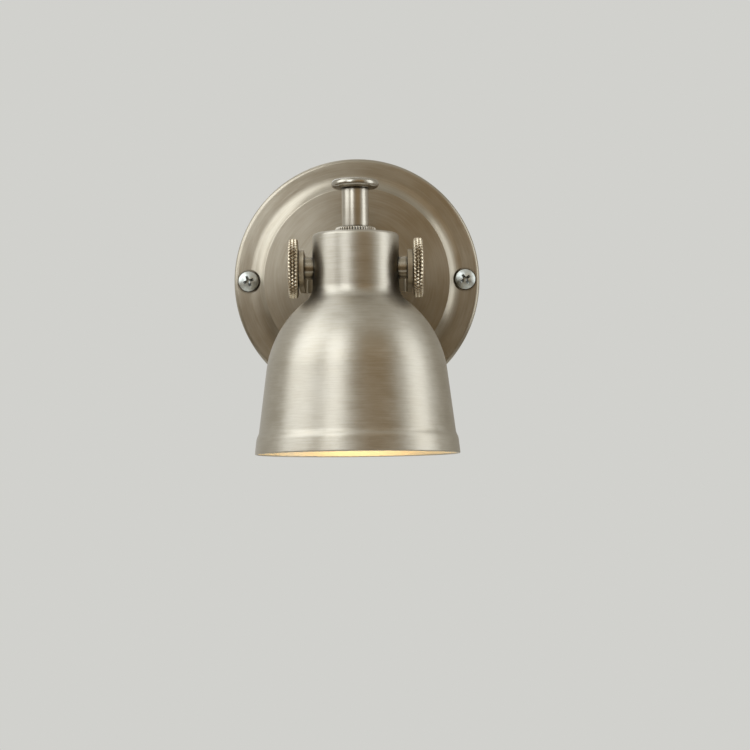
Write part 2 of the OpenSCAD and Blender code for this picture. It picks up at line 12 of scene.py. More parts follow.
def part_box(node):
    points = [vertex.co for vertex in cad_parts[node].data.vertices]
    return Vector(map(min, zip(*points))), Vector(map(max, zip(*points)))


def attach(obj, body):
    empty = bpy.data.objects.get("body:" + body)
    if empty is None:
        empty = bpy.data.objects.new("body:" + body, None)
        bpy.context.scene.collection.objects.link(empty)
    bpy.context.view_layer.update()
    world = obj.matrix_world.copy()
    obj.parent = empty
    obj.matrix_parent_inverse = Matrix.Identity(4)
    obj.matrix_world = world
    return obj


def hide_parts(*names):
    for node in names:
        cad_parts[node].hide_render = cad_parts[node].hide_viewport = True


bl_info = {
    "name": "Adjustable wall light",
    "version": (1, 0, 0),
    "blender": (4, 5, 0),
    "location": "View3D > Sidebar > Wall light",
    "description": "Turns, knurls and brushes the visible pieces of a tilting wall light",
    "category": "Object",
}

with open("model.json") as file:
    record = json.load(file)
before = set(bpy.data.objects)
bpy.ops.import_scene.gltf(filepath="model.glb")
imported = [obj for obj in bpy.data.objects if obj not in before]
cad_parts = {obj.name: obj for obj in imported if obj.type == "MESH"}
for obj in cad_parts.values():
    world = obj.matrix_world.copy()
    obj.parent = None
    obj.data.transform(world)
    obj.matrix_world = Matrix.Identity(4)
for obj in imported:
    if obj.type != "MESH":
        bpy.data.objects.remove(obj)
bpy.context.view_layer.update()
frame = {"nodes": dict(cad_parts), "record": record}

MM = 0.001
TAU = 2 * math.pi
CLOSE = 1e-7  # lengths nearer to each other than this count as equal
X, Y, Z = Vector((1, 0, 0)), Vector((0, 1, 0)), Vector((0, 0, 1))
OUT = -Y
PIVOT = Vector((0, (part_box("thumb_screw_left")[0].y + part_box("thumb_screw_left")[1].y) / 2, 0))
WALL_CENTRE = Vector((0, 0, 0))
NODE_BODY = {node: body for body, nodes in frame["record"]["behaviour"]["bodies"].items()
             for node in nodes}
TUBE_HOLE = 5.1 * MM  # radius of a hole that a threaded tube passes through
FLANK = 1.3  # how steeply a thread falls from its crest; above 1 its root is flat
KNURL_STEPS = 8  # steps of the mesh across one diamond or tooth


def length_prop(name, description, default, **limits):
    return FloatProperty(name=name, description=description, default=default, unit="LENGTH",
                         **limits)


def angle_prop(name, description, degrees):
    return FloatProperty(name=name, description=description, default=math.radians(degrees),
                         subtype="ANGLE", unit="ROTATION")


def colour_prop(name, description, *default):
    return FloatVectorProperty(name=name, description=description, default=default,
                               subtype="COLOR", size=3, min=0, max=1)


class LightFinish(PropertyGroup):
    nickel: colour_prop("Nickel", "Colour of the satin nickel", 0.395, 0.350, 0.276)
    nickel_worn: colour_prop("Bright nickel", "Colour of the nickel where the brushing is bright",
                             0.475, 0.432, 0.356)
    nickel_roughness: FloatProperty(
        name="Nickel roughness", description="Roughness of the satin nickel",
        min=0.1, max=0.8, default=0.40, subtype="FACTOR")
    zinc: colour_prop("Zinc", "Colour of the zinc-plated nuts, washers and small fittings",
                      0.62, 0.64, 0.65)
    zinc_worn: colour_prop("Worn zinc", "Colour of the two plate screws", 0.54, 0.545, 0.495)
    brass: colour_prop("Brass", "Colour of the threaded tubes, the earth tag and the holder's shell",
                       0.68, 0.52, 0.27)
    porcelain: colour_prop("Porcelain", "Colour of the glazed lampholder", 0.80, 0.77, 0.70)
    lining: colour_prop("Lining", "Colour of the satin coat inside the shade", 0.70, 0.66, 0.55)
    glow: colour_prop("Glow", "Colour of the lit lamp", 1.0, 0.69, 0.31)
    glow_strength: FloatProperty(
        name="Glow strength", description="How brightly the lamp's glass shines",
        min=0, max=50, default=7.0)


class LightShade(PropertyGroup):
    sheet: length_prop("Sheet", "Thickness of the shade's sheet", 1.0 * MM)
    neck_radius: length_prop("Neck", "Outside radius of the neck", 20.2 * MM)
    neck_top: length_prop("Neck top", "Height of the neck's top above the tilt axis", 16.1 * MM)
    corner_radius: length_prop("Neck corner", "Rounding of the neck's top edge", 1.8 * MM)
    fillet_radius: length_prop("Fillet", "Radius of the hollow fillet under the neck", 9.0 * MM)
    shoulder_radius: length_prop("Shoulder", "Radius of the shoulder's long arc", 49.0 * MM)
    taper_radius: length_prop("Taper radius", "Shade radius where the taper starts", 42.1 * MM)
    taper_depth: length_prop("Taper depth", "Depth of that place under the tilt axis", 47.8 * MM)
    taper_angle: angle_prop("Taper", "Slope of the tapered side", 7.3)
    mouth_depth: length_prop("Mouth", "Depth of the mouth under the tilt axis", 86.8 * MM)
    lip_height: length_prop("Lip", "Height of the lip up to the end of the flare", 6.4 * MM)
    flare_radius: length_prop("Flare", "Radius of the flare's two arcs", 6.5 * MM)
    flare_angle: angle_prop("Flare lean", "How far the flare leans out", 20)
    lip_angle: angle_prop("Lip slope", "Slope of the lip", 6.5)


class LightPlate(PropertyGroup):
    radius: length_prop("Plate radius", "Outside radius of the wall plate", 60 * MM)
    sheet: length_prop("Plate sheet", "Thickness of the plate's sheet", 1.2 * MM)
    height: length_prop("Disc height", "Height of the raised disc above the wall", 8 * MM)
    flange_height: length_prop("Flange height", "Height of the flange's face", 4.5 * MM)
    flange_width: length_prop("Flange width", "From the rim to the cove's foot", 7.4 * MM)
    cove_radius: length_prop("Cove", "Radius of the cove inside the flange", 9.2 * MM)
    edge_radius: length_prop("Disc edge", "Rounding of the disc's edge", 0.6 * MM)
    rim_rounding: length_prop("Rim", "Rounding of the plate's rim", 2.0 * MM)
    tube_hole: length_prop("Tube hole", "Radius of the hole in the middle", TUBE_HOLE)
    screw_inset: length_prop("Screw inset", "From the rim to a screw's axis", 7 * MM)
    dimple_radius: length_prop("Dimple", "Radius of a screw's dimple", 5.9 * MM)
    screw_hole: length_prop("Screw hole", "Radius of a screw hole", 2.75 * MM)
    screw_diameter: length_prop("Screw", "Thread diameter of a plate screw", 4.8 * MM)
    screw_length: length_prop("Screw length", "Length under the head", 30 * MM)
    head_diameter: length_prop("Screw head", "Diameter of a screw head", 9.7 * MM)
    head_height: length_prop("Head height", "Height of a screw head", 2.9 * MM)
    recess_length: length_prop("Recess", "Length of the cross recess", 6.5 * MM)
    recess_width: length_prop("Recess width", "Width of the recess's arms", 1.3 * MM)
    recess_depth: length_prop("Recess depth", "Depth of the recess", 1.75 * MM)


class LightKnurl(PropertyGroup):
    diamonds: IntProperty(name="Diamonds", description="Diamonds around a knurled head",
                          min=20, max=80, default=47)
    rows: IntProperty(name="Rows", description="Staggered rows of diamonds across a head",
                      min=1, max=6, default=3)
    depth: length_prop("Knurl depth", "Depth of the diamond knurl", 0.75 * MM)
    head_width: length_prop("Head width", "Thickness of a knurled head", 4.4 * MM)
    ring_teeth: IntProperty(name="Ring teeth", description="Teeth around the lock ring",
                            min=20, max=90, default=46)
    pitch: length_prop("Tube pitch", "Thread pitch of the tubes", 1.0 * MM)
    screw_pitch: length_prop("Screw pitch", "Thread pitch of the plate screws", 1.9 * MM)


class LightStage(PropertyGroup):
    camera_place: FloatVectorProperty(
        name="Camera", description="Where the camera stands", subtype="TRANSLATION",
        unit="LENGTH", size=3, default=(0.00987, -1.30475, -0.12418))
    camera_pitch: angle_prop("Pitch", "How far the camera looks up", 3.422)
    camera_yaw: angle_prop("Yaw", "How far the camera looks to the right", -0.067)
    camera_roll: angle_prop("Roll", "How far the camera leans", -0.614)
    lens: FloatProperty(
        name="Lens", description="Focal length of the camera, in millimetres",
        min=20, max=400, default=128.05)
    floor_drop: length_prop("Floor", "Depth of the floor under the tilt axis", 0.30,
                            min=0.1, max=2)
    floor_radius: length_prop("Floor radius", "Radius of the floor", 0.62, min=0.2, max=3)
    floor_colour: colour_prop("Floor colour", "Colour of the pale floor", 0.66, 0.655, 0.63)
    backdrop: colour_prop("Backdrop", "Colour of the pale background", 0.638, 0.638, 0.611)
    lamp_colour: colour_prop("Lamps", "Colour of the soft lamps", 0.82, 0.90, 1.0)
    card_colour: colour_prop("Card", "Colour of the brown card at the right front",
                             0.525, 0.387, 0.237)
    low_card_colour: colour_prop("Low card", "Colour of the dark card below the horizon",
                                 0.20, 0.15, 0.095)
    back_card_colour: colour_prop("Back card", "Colour of the card behind the light on its right",
                                  0.45, 0.415, 0.36)
    card_from: angle_prop("Card start", "Bearing of the card's left edge", -9)
    card_to: angle_prop("Card end", "Bearing of the card's right edge", 48)
    card_low_top: length_prop("Card low top", "Height of the card's top left of the middle", 0.32)
    card_high_top: length_prop("Card high top", "Height of the card's top at the right", 1.2)
    card_distance: length_prop("Card distance", "Distance of the card from the tilt axis", 1.15)


def new_material(name):
    material = bpy.data.materials.new(name)
    material.use_nodes = True
    return material, material.node_tree, material.node_tree.nodes["Principled BSDF"]


def feed(tree, node, inputs):
    """Links a node's inputs to other nodes' outputs, or sets those that get a plain value."""
    for key, value in inputs.items():
        if isinstance(value, NodeSocket):
            tree.links.new(value, node.inputs[key])
        else:
            node.inputs[key].default_value = value


def add_node(tree, kind, inputs=None, **settings):
    node = tree.nodes.new(kind)
    for key, value in settings.items():
        setattr(node, key, value)
    feed(tree, node, inputs or {})
    return node


def maths(tree, operation, *values):
    return add_node(tree, "ShaderNodeMath", dict(enumerate(values)), operation=operation).outputs[0]


def vector_math(tree, operation, *values):
    keys = (0, "Scale") if operation == "SCALE" else (0, 1)
    node = add_node(tree, "ShaderNodeVectorMath", dict(zip(keys, values)), operation=operation)
    return node.outputs["Value" if operation in ("DOT_PRODUCT", "LENGTH") else "Vector"]


def object_place(tree):
    return add_node(tree, "ShaderNodeTexCoord").outputs["Object"]


def scaled_place(tree, scale):
    """The place on the object, scaled by one number or by one for each direction."""
    steps = scale if isinstance(scale, tuple) else (scale, scale, scale)
    return vector_math(tree, "MULTIPLY", object_place(tree), steps)


def from_axis(tree, axis, centre):
    """Height along an axis and the vector out from it."""
    local = vector_math(tree, "SUBTRACT", object_place(tree), centre)
    height = vector_math(tree, "DOT_PRODUCT", local, axis)
    along = vector_math(tree, "SCALE", axis, height)
    return height, vector_math(tree, "SUBTRACT", local, along)


def turning_marks(tree, axis, centre, across, around, detail, roughness=0.5):
    """Noise that changes quickly across the marks of turning and slowly around the axis."""
    height, flat = from_axis(tree, axis, centre)
    radius = vector_math(tree, "LENGTH", flat)
    sides = [vector_math(tree, "DOT_PRODUCT", flat, tuple(side * (around / across)))
             for side in frame_of(Vector(axis))]
    joined = add_node(tree, "ShaderNodeCombineXYZ", {"X": radius, "Y": height, "Z": sides[0]})
    node = add_node(tree, "ShaderNodeTexNoise", {
        "Vector": joined.outputs[0], "W": sides[1], "Scale": across, "Detail": detail,
        "Roughness": roughness}, noise_dimensions="4D")
    return node.outputs["Fac"]


def noise(tree, scale, detail=3.0, roughness=0.55):
    node = add_node(tree, "ShaderNodeTexNoise", {
        "Vector": scaled_place(tree, scale), "Scale": 1.0, "Detail": detail,
        "Roughness": roughness})
    return node.outputs["Fac"]


def remap(tree, value, low, high, to_low=0, to_high=1):
    node = add_node(tree, "ShaderNodeMapRange", {
        "Value": value, "From Min": low, "From Max": high, "To Min": to_low, "To Max": to_high})
    return node.outputs["Result"]


def stretched(tree, grain, to_low=0, to_high=1):
    """Spreads noise, most of which lies between 0.3 and 0.7, over a range."""
    return remap(tree, grain, 0.3, 0.7, to_low, to_high)


def blend_colours(tree, factor, dark, light):
    """Mixes two colours, each a plain one or another node's output."""
    mix_factor, mix_dark, mix_light, mix_result = 0, 6, 7, 2
    dark, light = (end if isinstance(end, NodeSocket) else (*end, 1) for end in (dark, light))
    node = add_node(tree, "ShaderNodeMix", {mix_factor: factor, mix_dark: dark, mix_light: light},
                    data_type="RGBA")
    return node.outputs[mix_result]


def shaded(colour, amount):
    return tuple(c * amount for c in colour)


def warmed(colour, amount):
    """A colour with more red and less blue."""
    return colour[0] * (1 + amount), colour[1], colour[2] * (1 - 1.7 * amount)


def bump(tree, shader, height, strength, distance):
    node = add_node(tree, "ShaderNodeBump", {
        "Height": height, "Strength": strength, "Distance": distance})
    feed(tree, shader, {"Normal": node.outputs["Normal"]})


def grime_and_crevice_shade(tree, colour, dark, crevice):
    """Turns a colour dark where the surface lies in a crevice or near another part: painted shade,
    with some grime.
    """
    openness = add_node(tree, "ShaderNodeAmbientOcclusion", {"Distance": crevice}, samples=8)
    factor = remap(tree, openness.outputs["AO"], low=0.55, high=0.95)
    return blend_colours(tree, factor, dark, colour)


def brushed_round(tree, shader, axis, anisotropy):
    """Stretches the highlights across marks that run round an axis."""
    tangent = add_node(tree, "ShaderNodeTangent", direction_type="RADIAL", axis=axis)
    feed(tree, shader, {"Anisotropic": anisotropy, "Anisotropic Rotation": 0.25,
                        "Tangent": tangent.outputs[0]})


def turned_metal(name, dark, light, roughness, axis, centre, across, anisotropy, relief,
                 crevice=0.0, streaks=1.0, around=18.0):
    """Metal brushed in circles about an axis, with fine lines and faint wider bands. Across and
    around say how quickly the lines change in those directions, and streaks how strong they are.
    A crevice size above zero leaves the metal darker in grooves and gaps of about that width:
    painted shade, with some grime."""
    material, tree, shader = new_material(name)
    direction = tuple({"X": X, "Y": Y, "Z": Z}[axis])
    lines = turning_marks(tree, direction, centre, across, around, detail=5, roughness=0.7)
    bands = turning_marks(tree, direction, centre, across / 9, around, detail=2)
    blotches = noise(tree, scale=38)
    mixed = maths(tree, "ADD", maths(tree, "MULTIPLY_ADD", lines, streaks, bands), blotches)
    middle = 1 + streaks / 2
    tone = remap(tree, mixed, middle - 0.3, middle + 0.3)
    colour = blend_colours(tree, tone, dark, light)
    # painted shade, with some grime, in crevices and where other parts come close
    if crevice:
        colour = grime_and_crevice_shade(tree, colour, shaded(dark, 0.12), crevice)
    spread = 0.05
    feed(tree, shader, {
        "Base Color": colour, "Metallic": 1,
        "Roughness": remap(tree, mixed, middle - 0.4, middle + 0.4, roughness - spread,
                           roughness + spread)})
    brushed_round(tree, shader, axis, anisotropy)
    bump(tree, shader, lines, relief, 0.12 * MM)
    return material


def grained_metal(name, colour, roughness, scale, spread=0.12, relief=0.08, contrast=0.12,
                  crevice=0.0, anisotropy=0.0):
    """Metal with a fine grain, which a scale for each direction stretches. A crevice size above zero
    paints shade, with some grime, into its grooves and gaps.
    """
    material, tree, shader = new_material(name)
    grain = noise(tree, scale, 4, 0.65)
    pale = tuple(min(c * (1 + contrast), 1) for c in colour)
    colours = blend_colours(tree, stretched(tree, grain), shaded(colour, 1 - contrast), pale)
    # painted shade, with some grime, in crevices and where other parts come close
    if crevice:
        colours = grime_and_crevice_shade(tree, colours, shaded(colour, 0.08), crevice)
    feed(tree, shader, {
        "Base Color": colours, "Metallic": 1,
        "Roughness": stretched(tree, grain, roughness - spread / 2, roughness + spread / 2)})
    if anisotropy:
        brushed_round(tree, shader, "Z", anisotropy)
    bump(tree, shader, grain, relief, 0.1 * MM)
    return material


def moulded(name, colour, roughness, scale=600, relief=0.15, coat=0.0, contrast=0.08):
    """Plastic, rubber or glazed ware with a faint uneven surface."""
    material, tree, shader = new_material(name)
    grain = noise(tree, scale)
    dark = shaded(colour, 1 - contrast)
    feed(tree, shader, {
        "Base Color": blend_colours(tree, stretched(tree, grain), dark, colour),
        "Roughness": stretched(tree, grain, roughness - 0.06, roughness + 0.06),
        "Coat Weight": coat, "Coat Roughness": 0.08})
    bump(tree, shader, grain, relief, 0.08 * MM)
    return material


def lit_glass(name, colour, strength):
    """Clouded opal glass that glows."""
    material, tree, shader = new_material(name)
    cloud = noise(tree, scale=60, detail=2)
    tone = stretched(tree, cloud)
    feed(tree, shader, {
        "Emission Color": blend_colours(tree, tone, shaded(colour, 0.94), colour),
        "Emission Strength": strength,
        "Base Color": blend_colours(tree, tone, (0.90, 0.86, 0.78), (0.95, 0.92, 0.86)),
        "Roughness": stretched(tree, cloud, 0.16, 0.24)})
    return material


def satin_lining(name, colour):
    """A pale satin coat over turned metal, which both spreads the light and mirrors it."""
    lining = turned_metal(name, shaded(colour, 0.95), colour, roughness=0.48, axis="Z",
                          centre=tuple(PIVOT), across=900, anisotropy=0.7, relief=0.15)
    lining.node_tree.nodes["Principled BSDF"].inputs["Metallic"].default_value = 0.8
    return lining


# Copies of one nickel for each part. Dim and warm paint in how much light and how warm a reflection
# each part gets; crevice paints shade, with some grime, into grooves and gaps.
NICKELS = {
    "plate nickel": dict(axis="Y", across=1400, anisotropy=0.6, relief=0.40, gloss=0.05,
                         crevice=1.3 * MM, dim=0.83, streaks=1.6, around=60.0, warm=0.03),
    "shade nickel": dict(axis="Z", across=1500, anisotropy=0.5, relief=0.5, crevice=6 * MM,
                         streaks=1.7, around=100.0),
    "handle nickel": dict(axis="Z", across=900, anisotropy=0.45, relief=0.12, gloss=0.08,
                          crevice=1.2 * MM),
    "cap nickel": dict(axis="Z", across=900, anisotropy=0.35, relief=0.12, gloss=0.17,
                       crevice=2.0 * MM, dim=0.88),
    "collar nickel": dict(axis="X", across=1900, anisotropy=0.4, relief=0.30, gloss=0.19,
                          crevice=1.6 * MM, dim=0.74, warm=0.05),
    "post nickel": dict(axis="Y", across=1500, anisotropy=0.4, relief=0.20, gloss=0.10),
    "knurled nickel": dict(axis="X", across=1500, anisotropy=0.3, relief=0.05, gloss=0.14,
                           crevice=0.8 * MM, dim=1.35, warm=0.06),
    "face nickel": dict(axis="X", across=900, anisotropy=0.5, relief=0.30, gloss=-0.03, dim=0.76,
                        streaks=1.4, around=40.0, warm=0.03),
    "ring nickel": dict(axis="Z", across=900, anisotropy=0.3, relief=0.05, gloss=0.12,
                        crevice=0.9 * MM, dim=1.15),
}


def nickel(name, axis, gloss=0.0, dim=1.0, warm=0.0, **marks):
    """Satin nickel turned about an axis. Gloss smooths it, and dim and warm shift its colour:
    darker, brighter and warmer copies of one nickel that paint in the light, shade and warm
    reflections each part gets.
    """
    look = bpy.context.scene.wall_light_finish
    centre = (0, 0, 0) if axis == "Y" else tuple(PIVOT)
    dark, light = (warmed(shaded(c, dim), warm) for c in (look.nickel, look.nickel_worn))
    return turned_metal(name, dark, light, look.nickel_roughness - gloss, axis, centre, **marks)


def surface(name):
    """The finish with this name, made when it is first asked for."""
    made = bpy.data.materials.get(name)
    if made:
        return made
    if name in NICKELS:
        return nickel(name, **NICKELS[name])
    look = bpy.context.scene.wall_light_finish
    maker, colour, settings = {
        # The strip's warmer nickel paints in warm reflected light; the crevice sizes paint shade,
        # with some grime, into gaps and round the screw heads.
        "strip nickel": (grained_metal, warmed(look.nickel, 0.06), dict(
            roughness=0.42, scale=(60, 60, 2600), relief=0.12, crevice=0.8 * MM, anisotropy=0.7)),
        "zinc plate": (grained_metal, look.zinc, dict(roughness=0.26, scale=500)),
        "zinc screw": (grained_metal, look.zinc_worn, dict(
            roughness=0.42, scale=420, spread=0.14, relief=0.14, contrast=0.22,
            crevice=0.9 * MM)),
        "turned brass": (grained_metal, look.brass, dict(roughness=0.30, scale=700)),
        "spring bronze": (grained_metal, (0.58, 0.36, 0.20), dict(roughness=0.32, scale=700)),
        "solder": (grained_metal, (0.55, 0.56, 0.57), dict(roughness=0.42, scale=900)),
        "pale lining": (satin_lining, look.lining, {}),
        "white plastic": (moulded, (0.80, 0.79, 0.75), dict(roughness=0.45)),
        "black rubber": (moulded, (0.025, 0.025, 0.026), dict(
            roughness=0.62, scale=900, relief=0.25, contrast=0.3)),
        "glazed porcelain": (moulded, look.porcelain, dict(
            roughness=0.28, scale=250, relief=0.06, coat=0.6)),
        "dark glass": (moulded, (0.035, 0.025, 0.022), dict(
            roughness=0.25, scale=400, relief=0.05, coat=0.3)),
        "opal glass": (lit_glass, look.glow, dict(strength=look.glow_strength)),
    }[name]
    return maker(name, colour, **settings)


def dress(obj, material):
    obj.data.materials.clear()
    obj.data.materials.append(material)


def place(obj, finish, node):
    """Gives a piece its finish and puts it in the place of its node."""
    dress(obj, surface(finish))
    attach(obj, NODE_BODY[node])
    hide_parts(node)


def mesh_from(name, bm):
    mesh = bpy.data.meshes.new(name)
    bm.to_mesh(mesh)
    bm.free()
    return mesh


def linked(name, data):
    """An object in the scene that shows this mesh, light or camera."""
    obj = bpy.data.objects.new(name, data)
    bpy.context.scene.collection.objects.link(obj)
    return obj


def smoothed(mesh, crease=30):
    """Shades a mesh smooth, but for the edges that are sharper than the crease."""
    mesh.polygons.foreach_set("use_smooth", [True] * len(mesh.polygons))
    mesh.set_sharp_from_angle(angle=math.radians(crease))
    return mesh


def arc(centre, radius, start, end, step):
    """Points on an arc, as radius and height, from one angle in degrees to another."""
    count = max(1, math.ceil(abs(end - start) / step))
    points = []
    for i in range(count + 1):
        angle = math.radians(start + (end - start) * i / count)
        points.append((centre[0] + radius * math.cos(angle), centre[1] + radius * math.sin(angle)))
    return points


def frame_of(axis):
    """Two directions across an axis, so that across, side and axis are right-handed."""
    across = Z if abs(axis.z) < 0.5 else X
    side = axis.cross(across).normalized()
    return side.cross(axis).normalized(), side


def turned(name, outline, axis, origin, steps=128, closed=True, crease=30, radius_at=None):
    """Revolves an outline of (radius, height) points about an axis. Points at radius 0 are poles.
    radius_at(radius, height, angle) may change the radius, as a thread or a knurl does."""
    across, side = frame_of(axis)
    bm = bmesh.new()
    rings = []
    for radius, height in outline:
        count = 1 if radius < CLOSE else steps
        ring = []
        for i in range(count):
            angle = TAU * i / steps
            r = radius_at(radius, height, angle) if radius_at and count > 1 else radius
            spoke = across * math.cos(angle) + side * math.sin(angle)
            ring.append(bm.verts.new(origin + spoke * r + axis * height))
        rings.append(ring)
    pairs = list(zip(rings, rings[1:]))
    if closed:
        pairs.append((rings[-1], rings[0]))
    for low, high in pairs:
        for i in range(steps):
            j = (i + 1) % steps
            corners = [low[i % len(low)], low[j % len(low)], high[j % len(high)],
                       high[i % len(high)]]
            corners = list(dict.fromkeys(corners))
            if len(corners) > 2:
                bm.faces.new(corners)
    bmesh.ops.recalc_face_normals(bm, faces=bm.faces)
    return linked(name, smoothed(mesh_from(name, bm), crease))


def rod(radius, axis, origin, low, high):
    return turned("rod", [(0, low), (radius, low), (radius, high), (0, high)], axis, origin, 64,
                  closed=False)


def cut(obj, *cutters, crease=30, merge=True):
    """Takes other meshes out of a mesh and uses them up. Merging joins faces in one plane."""
    for cutter in cutters:
        change = obj.modifiers.new("cut", "BOOLEAN")
        change.operation = "DIFFERENCE"
        change.solver = "EXACT"
        change.object = cutter
    graph = bpy.context.evaluated_depsgraph_get()
    mesh = bpy.data.meshes.new_from_object(obj.evaluated_get(graph))
    obj.modifiers.clear()
    obj.data = mesh
    weld = 0.001 * MM
    bm = bmesh.new()
    bm.from_mesh(mesh)
    bmesh.ops.remove_doubles(bm, verts=bm.verts, dist=weld)
    bmesh.ops.dissolve_degenerate(bm, edges=bm.edges, dist=weld)
    if merge:
        bmesh.ops.dissolve_limit(bm, angle_limit=math.radians(0.1), verts=bm.verts,
                                 edges=bm.edges)
    bmesh.ops.recalc_face_normals(bm, faces=bm.faces)
    bm.to_mesh(mesh)
    bm.free()
    smoothed(mesh, crease)
    for cutter in cutters:
        bpy.data.objects.remove(cutter)


def rounded(obj, width, segments=2, angle=30):
    bevel = obj.modifiers.new("rounding", "BEVEL")
    bevel.width = width
    bevel.segments = segments
    bevel.limit_method = "ANGLE"
    bevel.angle_limit = math.radians(angle)
    bevel.harden_normals = True


def softened(node, finish, width, segments=2):
    """Stands a copy of a node with rounded edges in its place."""
    name = node + "_rounded"
    bm = bmesh.new()
    bm.from_mesh(frame["nodes"][node].data)
    bmesh.ops.remove_doubles(bm, verts=bm.verts, dist=0.002 * MM)
    bmesh.ops.dissolve_limit(bm, angle_limit=math.radians(0.4), verts=bm.verts, edges=bm.edges)
    bmesh.ops.recalc_face_normals(bm, faces=bm.faces)
    bm.verts.index_update()
    mesh = bpy.data.meshes.new(name)
    mesh.from_pydata([v.co[:] for v in bm.verts], [],
                     [[v.index for v in f.verts] for f in bm.faces])
    bm.free()
    obj = linked(name, smoothed(mesh))
    rounded(obj, width, segments)
    place(obj, finish, node)


def round_edged(radius, low, high, edge):
    """Outline of a round piece's outer side, with both its edges rounded."""
    flat = radius - edge
    return ([(flat, low)] + arc((flat, low + edge), edge, -90, 0, 15)
            + arc((flat, high - edge), edge, 0, 90, 15))


def zigzag(turns):
    """1 at every whole turn and 0 halfway between two of them."""
    return abs(turns % 1 * 2 - 1)


def thread_radius(base, depth, pitch, start=0.0):
    """Radius of a screw thread that runs round a rod."""
    def radius_at(radius, height, angle):
        if abs(radius - base) > CLOSE:
            return radius
        return base - depth * min(1.0, zigzag((height - start) / pitch - angle / TAU) * FLANK)
    return radius_at


def thread_points(base, low, high, pitch, per_turn=6):
    count = max(2, round((high - low) / pitch * per_turn))
    return [(base, low + (high - low) * i / count) for i in range(count + 1)]


def threaded_pipe(node, axis, origin, low, high):
    """A brass pipe with a fine outside thread and bevelled ends."""
    pitch = bpy.context.scene.wall_light_knurl.pitch
    outer, inner, bevel = 5.0 * MM, 3.5 * MM, 0.5 * MM
    bore_bevel = bevel * 0.4
    outline = [(inner, low + bore_bevel), (inner + bore_bevel, low), (outer - bevel, low)]
    outline += thread_points(outer, low + bevel, high - bevel, pitch)
    outline += [(outer - bevel, high), (inner + bore_bevel, high), (inner, high - bore_bevel)]
    pipe = turned(node + "_cut", outline, axis, origin, 72, crease=50,
                  radius_at=thread_radius(outer, 0.5 * MM, pitch))
    place(pipe, "turned brass", node)


def knuckle_sleeve(node, finish, outer, sheet, low, high, top=()):
    """A thin sleeve pressed into a round-crested thread. Points of top close its upper end in."""
    pitch, depth, fade_length = 2.82 * MM, 0.3 * MM, 1 * MM
    outside = thread_points(outer, low, high, pitch, 10)
    inside = [(outer - sheet, height) for _, height in reversed(outside)]

    def radius_at(radius, height, angle):
        if height > high + CLOSE or radius < outer - sheet - CLOSE:
            return radius
        fade = max(0.0, min(1.0, (height - low) / fade_length, (high - height) / fade_length))
        return radius - depth * fade * (0.5 - 0.5 * math.cos(TAU * height / pitch - angle))

    crown = list(top) + [(r - sheet, height - sheet * 0.6) for r, height in reversed(top)]
    sleeve = turned(node + "_threaded", outside + crown + inside, Z, PIVOT, 96, crease=50,
                    radius_at=radius_at)
    place(sleeve, finish, node)


def plate_outline(depth, low):
    """Half outline of the wall plate at a depth under its face, from the middle to the rim."""
    plate = bpy.context.scene.wall_light_plate
    rim, flange, high = plate.radius, plate.flange_height, plate.height
    cove, edge, turn = plate.cove_radius, plate.edge_radius, plate.rim_rounding
    foot = rim - plate.flange_width
    under = max(depth, edge)
    reach, drop = cove + under, flange + cove - high + under
    top = (foot - math.sqrt(reach ** 2 - drop ** 2), flange + cove - drop)
    slope = math.degrees(math.asin(drop / reach))
    points = [(0, high - depth)]
    if depth < edge:
        points += arc(top, edge - depth, 90, slope, 12)
    points += arc((foot, flange + cove), cove + depth, 180 + slope, 270, 4)
    points += arc((rim - turn, flange - turn), turn - depth, 90, 0, 10)
    return points + [(rim - depth, low), (0, low)]


def screw_spots(plate):
    return [X * (side * (plate.radius - plate.screw_inset)) for side in (-1, 1)]


class WALLLIGHT_OT_plate(Operator):
    """Spin the wall plate and press its two screw dimples"""
    bl_idname = "walllight.plate"
    bl_label = "Wall plate"

    def execute(self, context):
        plate = context.scene.wall_light_plate
        flange, sheet, dimple, past = plate.flange_height, plate.sheet, plate.dimple_radius, 1 * MM
        body, hollow = (turned(name, plate_outline(depth, low), OUT, WALL_CENTRE, 256, closed=False)
                        for name, depth, low in (("plate_spun", 0, 0), ("hollow", sheet, -past)))
        dimple_floor, pad_back = flange - 0.03 * MM, flange - sheet - 0.15 * MM
        spots, high = screw_spots(plate), 2 * plate.height
        cut(hollow, *[rod(dimple + sheet, OUT, spot, pad_back, plate.height + past)
                      for spot in spots])
        holes = [rod(dimple, OUT, spot, dimple_floor, high) for spot in spots]
        holes += [rod(plate.screw_hole, OUT, spot, -past, high) for spot in spots]
        holes.append(rod(plate.tube_hole, OUT, WALL_CENTRE, -past, high))
        cut(body, hollow, *holes, crease=13)
        rounded(body, 0.18 * MM, angle=40)
        place(body, "plate nickel", "wall_plate")
        return {"FINISHED"}


def wood_thread(radius, point, low, high, pitch):
    """Points and a radius rule for a screw with a pointed end and a coarse thread."""
    tip, tip_length, least = 0.25 * MM, 0.5 * MM, 0.2 * MM
    root, ridge, steepness = 0.68, 0.32, 2.2

    def radius_at(r, height, angle):
        if height > high - CLOSE or height < low + tip_length:
            return r
        rise = max(0.0, 1 - zigzag((height - low) / pitch - angle / TAU) * steepness)
        return max(r * (root + ridge * rise), least)

    points = [(max(r * min(1.0, (height - low) / point), tip), height)
              for r, height in thread_points(radius, low, high, pitch, 8)]
    return points, radius_at


